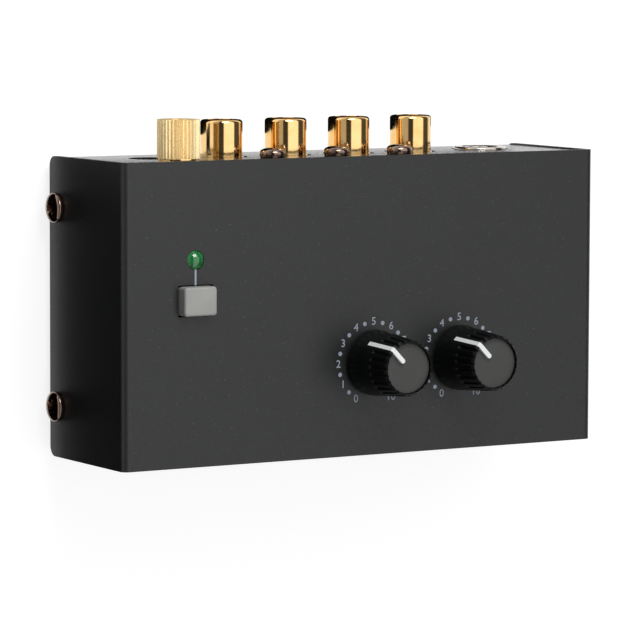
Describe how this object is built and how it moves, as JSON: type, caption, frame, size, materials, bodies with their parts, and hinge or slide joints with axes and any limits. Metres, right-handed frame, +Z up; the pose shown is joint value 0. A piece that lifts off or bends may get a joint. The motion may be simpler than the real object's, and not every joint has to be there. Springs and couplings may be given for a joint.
{
  "type": "phono preamp",
  "caption": "Small phono preamp in a flat sheet-steel case, with fluted control knobs and a push button on the label face, and phono sockets, a jack and a ground nut on one edge.",
  "frame": {"origin": "on the floor under the feet, at the middle of the box around the whole preamp", "axes": "+X along the connector panel, from the ground nut to the output jack; +Y out of the connector panel; +Z up out of the label face"},
  "size_m": [0.1112, 0.0668, 0.0457],
  "materials": {
    "black_coat": "satin",
    "black_nickel": "polished",
    "foot_rubber": "matte",
    "board_green": "satin",
    "standoff_brass": "satin",
    "screw_steel": "satin",
    "socket_black": "satin",
    "gold": "polished",
    "knurled_gold": "satin",
    "insulator": "gloss",
    "nickel": "polished",
    "knob_black": "satin",
    "knob_disc_grey": "satin",
    "pointer_white": "satin",
    "shaft_alloy": "satin",
    "pot_metal": "satin",
    "button_grey": "satin",
    "plunger_white": "satin",
    "lamp_green": "gloss",
    "can_sleeve": "gloss",
    "film_red": "gloss",
    "resistor_black": "satin"
  },
  "bodies": {
    "preamp": {"amplifier_chips": "socket_black", "base_chassis": "black_coat", "board_screws": "screw_steel", "board_standoffs": "standoff_brass", "circuit_board": "board_green", "cover_screws": "black_nickel", "electrolytic_capacitors": "can_sleeve", "film_capacitors": "film_red", "ground_inner_nut": "screw_steel", "ground_strap": "nickel", "ground_stud": "gold", "jack_screws": "black_nickel", "lamp_leads": "nickel", "lamp_spacer": "socket_black", "level_pot_body": "pot_metal", "output_jack_body": "socket_black", "output_jack_nose": "nickel", "output_jack_springs": "nickel", "phono_contact_1": "gold", "phono_contact_2": "gold", "phono_contact_3": "gold", "phono_contact_4": "gold", "phono_housing": "socket_black", "phono_insulator_1": "insulator", "phono_insulator_2": "insulator", "phono_insulator_3": "insulator", "phono_insulator_4": "insulator", "phono_shell_1": "gold", "phono_shell_2": "gold", "phono_shell_3": "gold", "phono_shell_4": "gold", "power_inlet_body": "socket_black", "power_inlet_pin": "nickel", "power_lamp": "lamp_green", "power_switch_body": "socket_black", "resistors": "resistor_black", "rubber_feet": "foot_rubber", "top_cover": "black_coat", "voltage_regulator": "socket_black", "volume_pot_body": "pot_metal"},
    "level_control": {"level_knob": "knob_black", "level_knob_disc": "knob_disc_grey", "level_knob_pointer": "pointer_white", "level_shaft": "shaft_alloy"},
    "volume_control": {"volume_knob": "knob_black", "volume_knob_disc": "knob_disc_grey", "volume_knob_pointer": "pointer_white", "volume_shaft": "shaft_alloy"},
    "button": {"power_button": "button_grey", "switch_plunger": "plunger_white"},
    "washer": {"ground_washer": "gold"},
    "thumb_nut": {"ground_nut": "knurled_gold"}
  },
  "joints": [
    {"name": "level_turn", "type": "hinge", "parent": "preamp", "child": "level_control", "pos_m": [0.00185, -0.0151, 0.04], "axis": [0, 0, -1], "range_deg": [-106, 194]},
    {"name": "volume_turn", "type": "hinge", "parent": "preamp", "child": "volume_control", "pos_m": [0.02185, -0.0151, 0.04], "axis": [0, 0, -1], "range_deg": [-106, 194]},
    {"name": "power_press", "type": "slide", "parent": "preamp", "child": "button", "axis": [0, 0, -1], "range_m": [0, 0.002], "stiffness_N_per_m": 400, "springref_m": -0.0015},
    {"name": "ground_travel", "type": "slide", "parent": "preamp", "child": "washer", "axis": [0, 1, 0], "range_m": [0, 0.0028]},
    {"name": "ground_turn", "type": "hinge", "parent": "washer", "child": "thumb_nut", "pos_m": [-0.039, 0.0293, 0.0269], "axis": [0, 1, 0], "range_deg": [0, 1440]}
  ],
  "couplings": [
    {"joint": "ground_turn", "follows": "ground_travel", "rad_per_m": 8976}
  ]
}
